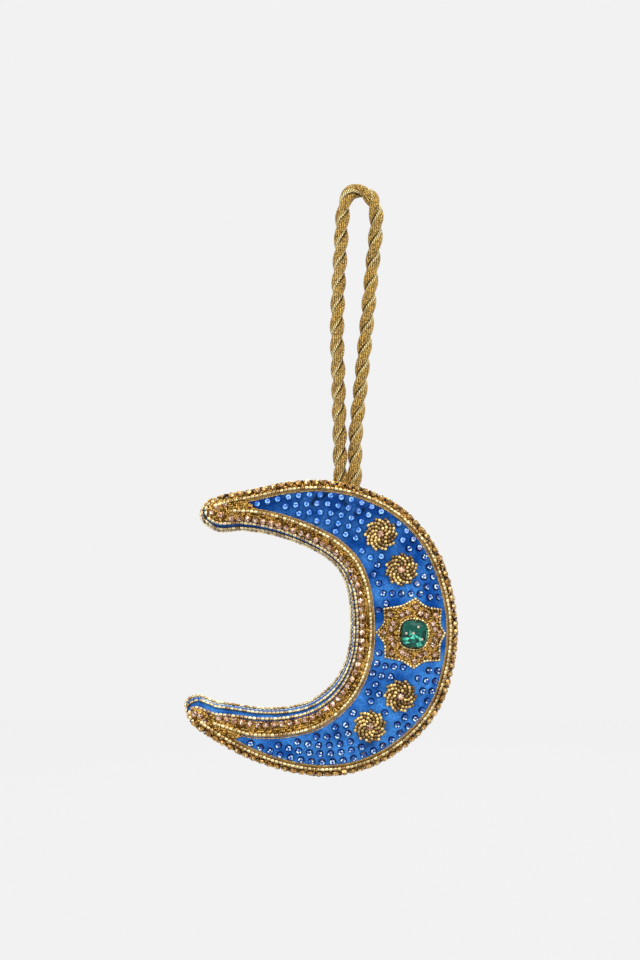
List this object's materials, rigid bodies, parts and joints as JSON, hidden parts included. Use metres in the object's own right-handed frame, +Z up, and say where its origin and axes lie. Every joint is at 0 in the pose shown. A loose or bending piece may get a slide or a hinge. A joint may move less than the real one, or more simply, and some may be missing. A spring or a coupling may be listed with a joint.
{
  "type": "eid crescent ornament",
  "caption": "Stuffed velvet crescent with beaded gold borders, crystal rim, bead rosettes and a star medallion, hung from a twisted gold cord loop.",
  "frame": {"origin": "inside top of the cord loop, where the hook or branch that holds it bears", "axes": "+Z up along the hanging cord, -Y towards the viewer of the beaded face, +X towards the crescent's belly"},
  "size_m": [0.1023, 0.024, 0.2197],
  "materials": {
    "blue_velvet": "short pile, soft sheen",
    "backing_cotton": "matt plain weave",
    "stuffing": "loose fibre",
    "sewing_thread": "matt",
    "gold_purl": "bright coiled wire",
    "gold_thread": "bright",
    "gold_cord": "metallised thread, soft gleam",
    "gold_seed_bead": "metal lined, polished",
    "champagne_crystal": "faceted, polished",
    "sapphire_stone": "faceted, foil backed",
    "emerald_glass": "faceted, foil backed",
    "beige_thread": "matt"
  },
  "bodies": {
    "loop": {"hanging_cord": "gold_cord", "cord_whipping": "gold_thread"},
    "crescent": {"front_panel": "blue_velvet", "embroidery_backing": "backing_cotton", "back_panel": "blue_velvet", "inner_gusset": "blue_velvet", "outer_gusset": "blue_velvet", "filling": "stuffing", "closing_stitches": "sewing_thread", "rim_band": "gold_purl", "rim_crystals": "champagne_crystal", "rim_seed_row": "gold_seed_bead", "rim_thread": "gold_thread", "inner_band": "gold_purl", "inner_crystals": "champagne_crystal", "inner_seed_row": "gold_seed_bead", "inner_thread": "gold_thread", "front_seam_seed_row": "gold_seed_bead", "bay_seed_row": "gold_seed_bead", "back_seam_seed_row": "gold_seed_bead", "upper_stones": "sapphire_stone", "belly_stones": "sapphire_stone", "lower_stones": "sapphire_stone", "rosette_1_beads": "gold_seed_bead", "rosette_2_beads": "gold_seed_bead", "rosette_3_beads": "gold_seed_bead", "rosette_4_beads": "gold_seed_bead", "rosette_1_heart": "champagne_crystal", "rosette_2_heart": "champagne_crystal", "rosette_3_heart": "champagne_crystal", "rosette_4_heart": "champagne_crystal", "medallion_ground": "gold_purl", "medallion_outline": "gold_seed_bead", "medallion_crystals": "champagne_crystal", "medallion_ring": "gold_seed_bead", "medallion_gem": "emerald_glass", "gem_stitches": "beige_thread", "cord_anchor_stitches": "gold_thread"}
  },
  "joints": [
    {"name": "crescent_swing", "type": "hinge", "parent": "loop", "child": "crescent", "pos_m": [-0.00335, 0, -0.10459], "axis": [0.9762, 0, -0.2169], "range_deg": [-40, 40]}
  ]
}
